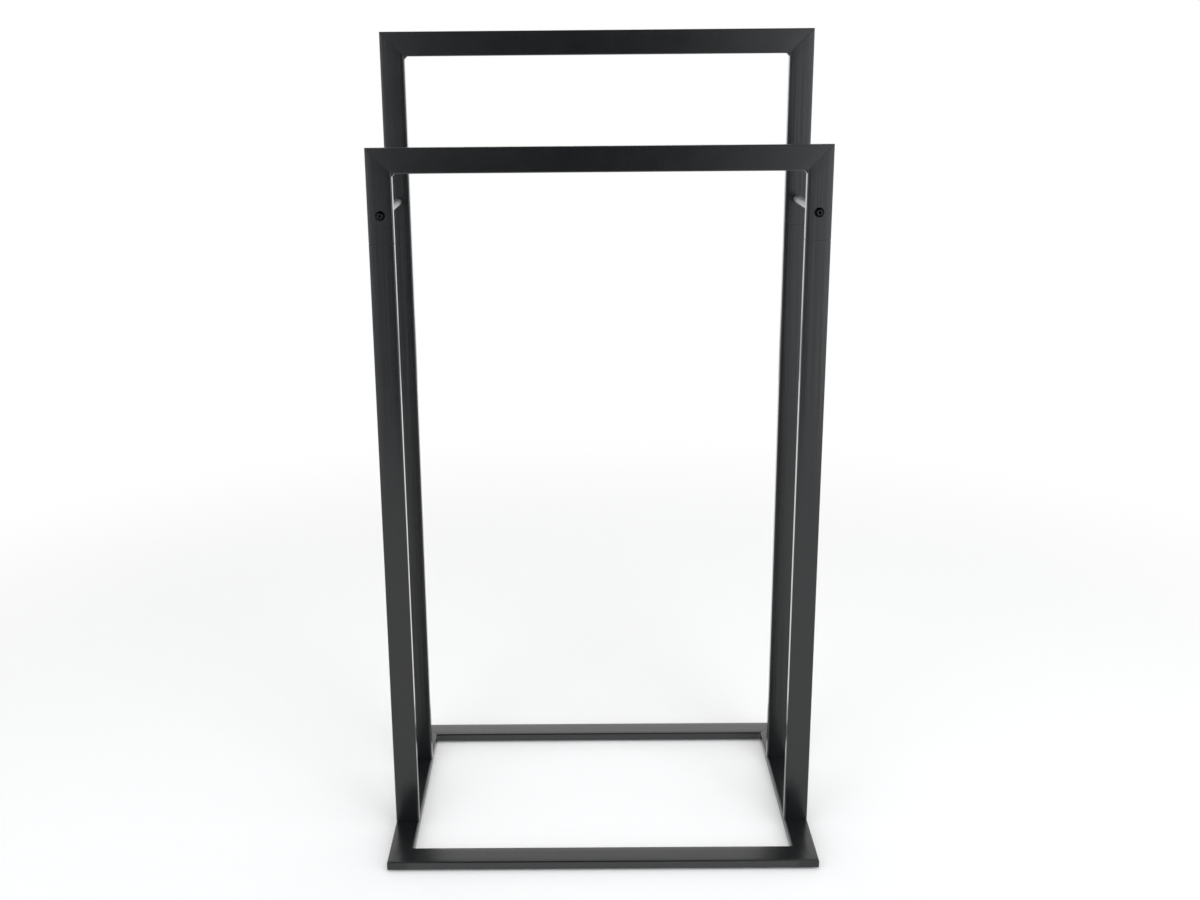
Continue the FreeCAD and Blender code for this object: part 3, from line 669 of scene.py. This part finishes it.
def makeWeldTree():
    # A small fillet bead with the ripples of a hand weld, laid in the corners of an opening. The corners are
    # numbered from the upper right, turning left, and the first ones of the count get a bead.
    tree, size = newTree("corner_weld", {
        "Leg": float, "Length": float, "Rings": int, "Face Points": int, "Hollow": float,
        "Ripple": float, "Ripple Share": float, "Ripple Power": float,
        "End Share": float, "End Power": float,
        "Opening": Vector, "Corners": int, "Finish": bpy.types.Material})
    position = addNode(tree, "GeometryNodeInputPosition")
    length = addNode(tree, "ShaderNodeCombineXYZ", {"Z": size["Length"]})
    top = addNode(tree, "ShaderNodeVectorMath", {0: length, "Scale": 0.5}, operation="SCALE")
    bottom = addNode(tree, "ShaderNodeVectorMath", {0: length, "Scale": -0.5}, operation="SCALE")
    run = addNode(tree, "GeometryNodeCurvePrimitiveLine", {"Start": bottom, "End": top})
    fine = addNode(tree, "GeometryNodeResampleCurve", {"Curve": run, "Count": size["Rings"]})

    # each ripple starts full and falls off, and the bead thins at its two ends
    passed = addNode(tree, "GeometryNodeSplineParameter")
    ripples = addNode(tree, "ShaderNodeMath", {0: passed.outputs["Length"], 1: size["Ripple"]},
                      operation="DIVIDE")
    within = addNode(tree, "ShaderNodeMath", {0: ripples}, operation="FRACT")
    fallen = addNode(tree, "ShaderNodeMath", {0: within, 1: size["Ripple Power"]}, operation="POWER")
    rippleFall = addNode(tree, "ShaderNodeMath", {0: fallen, 1: size["Ripple Share"]},
                         operation="MULTIPLY")
    fromMiddle = addNode(tree, "ShaderNodeMapRange", {
        "Value": passed.outputs["Factor"], "To Min": -1.0, "To Max": 1.0})
    distance = addNode(tree, "ShaderNodeMath", {0: fromMiddle}, operation="ABSOLUTE")
    nearEnd = addNode(tree, "ShaderNodeMath", {0: distance, 1: size["End Power"]}, operation="POWER")
    thinned = addNode(tree, "ShaderNodeMath", {0: nearEnd, 1: size["End Share"], 2: rippleFall},
                      operation="MULTIPLY_ADD")
    full = addNode(tree, "ShaderNodeMath", {0: 1.0, 1: thinned}, operation="SUBTRACT")
    scale = addNode(tree, "ShaderNodeMath", {0: full, 1: size["Leg"]}, operation="MULTIPLY")

    # the section is a quarter of a circle about the corner, pulled in to a flat or hollow face; the sum of
    # x and y is 1 or more on the circle, and is kept above 0 at the corner, where its power has no value
    pie = addNode(tree, "GeometryNodeCurveArc", {
        "Resolution": size["Face Points"], "Radius": 1.0, "Start Angle": math.pi,
        "Sweep Angle": math.pi / 2, "Connect Center": True})
    unsigned = addNode(tree, "ShaderNodeVectorMath", {0: position}, operation="ABSOLUTE")
    walls = addNode(tree, "ShaderNodeVectorMath", {0: unsigned, 1: (1.0, 1.0, 0.0)},
                    operation="DOT_PRODUCT")
    least = addNode(tree, "ShaderNodeMath", {0: walls.outputs["Value"], 1: 0.5}, operation="MAXIMUM")
    hollow = addNode(tree, "ShaderNodeMath", {0: size["Hollow"], 1: -1.0}, operation="MULTIPLY")
    pull = addNode(tree, "ShaderNodeMath", {0: least, 1: hollow}, operation="POWER")
    pulled = addNode(tree, "ShaderNodeVectorMath", {0: position, "Scale": pull}, operation="SCALE")
    face = addNode(tree, "GeometryNodeSetPosition", {"Geometry": pie, "Position": pulled})
    bead = addNode(tree, "GeometryNodeCurveToMesh", {
        "Curve": fine, "Profile Curve": face, "Scale": scale, "Fill Caps": True})

    # the corners of the opening, each a quarter turn on from the last
    order = addNode(tree, "GeometryNodeInputIndex")
    turn = addNode(tree, "ShaderNodeMath", {0: order, 1: math.pi / 2}, operation="MULTIPLY")
    facing = addNode(tree, "ShaderNodeCombineXYZ", {"Z": turn})
    diagonal = addNode(tree, "ShaderNodeVectorRotate", {"Vector": (0.5, 0.5, 0.0), "Angle": turn},
                       rotation_type="Z_AXIS")
    corner = addNode(tree, "ShaderNodeVectorMath", {0: diagonal, 1: size["Opening"]},
                     operation="MULTIPLY")
    dots = addNode(tree, "GeometryNodeMeshLine", {"Count": size["Corners"]})
    corners = addNode(tree, "GeometryNodeSetPosition", {"Geometry": dots, "Position": corner})
    beads = addNode(tree, "GeometryNodeInstanceOnPoints", {
        "Points": corners, "Instance": bead, "Rotation": facing})
    endTree(tree, beads, size["Finish"])
    return tree


weldBead = {
    "leg": 3.0, "length": 7.0, "rings": 57, "facePoints": 13, "hollow": 1.12,
    "ripple": 1.05, "rippleShare": 0.07, "ripplePower": 2.0,  # each ripple falls by this share of the leg
    "endShare": 0.3, "endPower": 12.0,  # and the bead's ends by this one
}
weldTree = makeWeldTree()


def layWelds(node, through, opening, middle, corners):
    # through is the way that the beads run, and the opening's upper side is its own y
    upward = through.cross(right)
    place = Matrix.Translation(middle) @ Matrix((right, upward, through)).transposed().to_4x4()
    sizes = {
        "Leg": weldBead["leg"] * mm, "Length": weldBead["length"] * mm, "Rings": weldBead["rings"],
        "Face Points": weldBead["facePoints"], "Hollow": weldBead["hollow"],
        "Ripple": weldBead["ripple"] * mm, "Ripple Share": weldBead["rippleShare"],
        "Ripple Power": weldBead["ripplePower"], "End Share": weldBead["endShare"],
        "End Power": weldBead["endPower"], "Opening": opening, "Corners": corners, "Finish": coatAcross}
    settle(growPiece(node + "_beads", weldTree, sizes, place), node)


weldLow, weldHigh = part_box("base_corner_welds")
opening = weldHigh - weldLow
opening.z = 0
layWelds("base_corner_welds", up, opening, centreOf("base_corner_welds"), corners=4)
for end in ("front", "rear"):
    node = end + "_frame_welds"
    weldLow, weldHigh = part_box(node)
    opening = Vector((weldHigh.x - weldLow.x, weldHigh.z, 0))  # from the floor to the rail
    middle = centreOf(node)
    middle.z = weldHigh.z / 2
    layWelds(node, -back, opening, middle, corners=2)
print("welds laid")

# the hidden spigots and foot nuts keep their own shape
for name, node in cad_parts.items():
    if name.endswith(("_spigot", "_foot_nut")):
        for socket in node.material_slots:
            socket.material = millFinish

studio = {
    "floor": 14.0, "floorColour": "#f4f4f4", "floorLift": 0.1, "fadeFrom": 0.7, "fadeTo": 1.5,
    "fill": 0.49,  # what the room gives to dull surfaces
    "wallPlace": -1.5, "wallWidth": 3.4, "wallHeight": 2.2, "wallColour": "#f8fbff",
    # how bright the wall behind the camera is across its width: dark where the camera stands
    "wallGlow": ((-1.7, 1.0), (-1.1, 2.1), (-0.66, 1.45), (-0.46, 0.36), (-0.30, 0.10), (-0.12, 0.03),
                 (0.1, 0.04), (0.32, 0.3), (0.49, 1.15), (0.66, 1.9), (1.1, 2.7), (1.7, 1.4)),
    "flagWidth": 2.4, "flagNear": -0.05, "flagHeight": 2.21,  # from above the wall to above the stand
}
# where each lamp stands and points in metres, its size, how bright its face is, and whether a shine shows it
softboxes = {
    "top_softbox": {"place": (0.0, 0.1, 2.6), "aim": (0, 0, 0.4), "size": (2.4, 2.4), "glow": 1.0,
                    "mirrored": False},
    "front_softbox": {"place": (0.2, -0.9, 2.2), "aim": (0.1, -0.3, 0), "size": (1.4, 1.2), "glow": 1.2,
                      "mirrored": False},
    "back_softbox": {"place": (0.0, 2.4, 0.8), "aim": (0, 0, 0.8), "size": (2.4, 1.5), "glow": 0.8,
                     "mirrored": True},
    "low_softbox": {"place": (0.0, 1.02, 0.02), "aim": (0, 1.02, 1.0), "size": (1.8, 1.7), "glow": 1.0,
                    "mirrored": True},
    "right_softbox": {"place": (2.3, -0.9, 1.1), "aim": (0, 0, 0.5), "size": (1.2, 1.8), "glow": 1.2,
                      "mirrored": True},
    "left_softbox": {"place": (-2.3, -0.9, 1.1), "aim": (0, 0, 0.5), "size": (1.2, 1.8), "glow": 0.7,
                     "mirrored": True},
}
floorCard = {"gap": 2.0, "reach": 34.0, "past": 5.0, "height": 1.0, "glow": 0.3}  # in mm, but for the glow


def stageFace(name, points, finish):
    # one flat face that belongs to the studio
    mesh = bpy.data.meshes.new(name)
    mesh.from_pydata(points, [], [tuple(range(len(points)))])
    mesh.materials.append(finish)
    piece = addObject(name, mesh)
    return piece


def backdropRays(tree):
    # 1 for what the camera sees, straight or in a shine or through glass, and 0 for what lights dull surfaces
    rays = addNode(tree, "ShaderNodeLightPath").outputs
    seen = addNode(tree, "ShaderNodeMath", {0: rays["Is Camera Ray"], 1: rays["Is Glossy Ray"]},
                   operation="MAXIMUM")
    return addNode(tree, "ShaderNodeMath", {0: seen, 1: rays["Is Transmission Ray"]},
                   operation="MAXIMUM")


def makeFloor():
    finish, tree, place = newFinish("studio_floor")
    matt = addNode(tree, "ShaderNodeBsdfDiffuse", {"Color": toLinear(studio["floorColour"])})
    seen = backdropRays(tree)
    lifted = addNode(tree, "ShaderNodeMath", {0: seen, 1: studio["floorLift"]}, operation="MULTIPLY")
    lift = addNode(tree, "ShaderNodeEmission", {"Strength": lifted})
    near = addNode(tree, "ShaderNodeAddShader", {0: matt, 1: lift})
    # far from the stand the floor turns into the white backdrop
    away = addNode(tree, "ShaderNodeVectorMath", {0: place}, operation="LENGTH")
    fade = addNode(tree, "ShaderNodeMapRange", {
        "Value": away.outputs["Value"], "From Min": studio["fadeFrom"], "From Max": studio["fadeTo"]},
        interpolation_type="SMOOTHSTEP")
    share = addNode(tree, "ShaderNodeMath", {0: fade, 1: seen}, operation="MULTIPLY")
    far = addNode(tree, "ShaderNodeEmission", {"Strength": 1.0})
    both = addNode(tree, "ShaderNodeMixShader", {0: share, 1: near, 2: far})
    addNode(tree, "ShaderNodeOutputMaterial", {"Surface": both})
    half = studio["floor"] / 2
    stageFace("studio_floor", [(-half, -half, 0), (half, -half, 0), (half, half, 0), (-half, half, 0)],
              finish)


def makeCameraWall():
    # the studio's dim wall behind the camera, which the stand's front faces mirror
    finish, tree, place = newFinish("camera_side_wall")
    across = addNode(tree, "ShaderNodeSeparateXYZ", {0: place}).outputs["X"]
    stops = studio["wallGlow"]
    first, last = stops[0][0], stops[-1][0]
    share = addNode(tree, "ShaderNodeMapRange", {"Value": across, "From Min": first, "From Max": last})
    ramp = addNode(tree, "ShaderNodeFloatCurve", {"Value": share})
    curve = ramp.mapping.curves[0]
    top = max(glow for _, glow in stops)
    for i, (spot, glow) in enumerate(stops):
        at = ((spot - first) / (last - first), glow / top)
        if i in (0, len(stops) - 1):  # a new curve has its two end points already
            curve.points[-1 if i else 0].location = at
        else:
            curve.points.new(*at)
    ramp.mapping.update()
    strength = addNode(tree, "ShaderNodeMath", {0: ramp, 1: top}, operation="MULTIPLY")
    wall = addNode(tree, "ShaderNodeEmission", {
        "Color": toLinear(studio["wallColour"]), "Strength": strength})
    addNode(tree, "ShaderNodeOutputMaterial", {"Surface": wall})
    half, far, high = studio["wallWidth"] / 2, studio["wallPlace"], studio["wallHeight"]
    piece = stageFace("camera_side_wall", [(half, far, 0), (-half, far, 0), (-half, far, high),
                                           (half, far, high)], finish)
    piece.visible_camera = False


def makeFlag():
    # a black flag above the camera that only a shine shows, so that the bars' upper front edges stay dark
    finish, tree, _ = newFinish("black_flag_cloth")
    cloth = addNode(tree, "ShaderNodeEmission", {"Strength": 0.0})
    addNode(tree, "ShaderNodeOutputMaterial", {"Surface": cloth})
    half, high = studio["flagWidth"] / 2, studio["flagHeight"]
    far, near = studio["wallPlace"], studio["flagNear"]
    flag = stageFace("overhead_flag", [(half, far, high), (-half, far, high), (-half, near, high),
                                       (half, near, high)], finish)
    flag.visible_camera = False
    flag.visible_diffuse = False
    flag.visible_transmission = False
    flag.visible_shadow = False


def makeRoom():
    # the room is white to the camera and in reflections, and gives dull surfaces its fill
    world = bpy.data.worlds.new("studio_room")
    bpy.context.scene.world = world
    world.use_nodes = True
    tree = world.node_tree
    tree.nodes.clear()
    strength = addNode(tree, "ShaderNodeMapRange", {
        "Value": backdropRays(tree), "To Min": studio["fill"], "To Max": 1.0})
    room = addNode(tree, "ShaderNodeBackground", {"Color": (1.0, 1.0, 1.0, 1.0), "Strength": strength})
    addNode(tree, "ShaderNodeOutputWorld", {"Surface": room})


def softbox(name, place, aim, size, glow, mirrored=True):
    # a flat lamp whose face is as bright as glow, where 1 is white; a shine shows it where it is mirrored
    width, height = size
    light = bpy.data.lights.new(name, "AREA")
    light.shape = "RECTANGLE"
    light.size = width
    light.size_y = height
    light.energy = glow * math.pi * width * height
    lamp = addObject(name, light)
    away = Vector(place) - Vector(aim)
    lamp.matrix_world = Matrix.Translation(place) @ away.to_track_quat("Z", "Y").to_matrix().to_4x4()
    lamp.visible_camera = False
    lamp.visible_glossy = mirrored


def layCard(name, bar):
    # a bright strip on the floor before a bar, which the bar's narrow face mirrors
    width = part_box("right_front_leg")[0].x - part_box("left_front_leg")[1].x + 2 * floorCard["past"] * mm
    reach = floorCard["reach"] * mm
    place = Vector((0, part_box(bar)[0].y - floorCard["gap"] * mm - reach / 2, floorCard["height"] * mm))
    softbox(name, place, place + up, (width, reach), floorCard["glow"])


def makeCamera():
    # where the photographer stood, in millimetres from the middle of the base, and how the lens pointed
    shot = {"place": (-21.7, -1277.8, 817.4), "tilt": 14.09, "turn": -0.28, "roll": 0.507,
            "lens": 37.48, "sensor": 36.0, "shiftX": 0.0230, "shiftY": -0.0615}
    camera = bpy.data.cameras.new("photo_camera")
    camera.sensor_width = shot["sensor"]
    camera.lens = shot["lens"]
    camera.shift_x = shot["shiftX"]
    camera.shift_y = shot["shiftY"]
    holder = addObject("photo_camera", camera)
    aim = (Matrix.Rotation(math.radians(-shot["turn"]), 4, "Z")
           @ Matrix.Rotation(math.radians(90 - shot["tilt"]), 4, "X")
           @ Matrix.Rotation(math.radians(-shot["roll"]), 4, "Z"))
    holder.matrix_world = Matrix.Translation(Vector(shot["place"]) * mm) @ aim
    bpy.context.scene.camera = holder


makeFloor()
makeCameraWall()
makeFlag()
makeRoom()
for name, lamp in softboxes.items():
    softbox(name, **lamp)
layCard("front_card", "base_front_bar")
layCard("rear_card", "base_rear_bar")
makeCamera()
bpy.context.scene.view_settings.view_transform = "Standard"
print("studio ready")
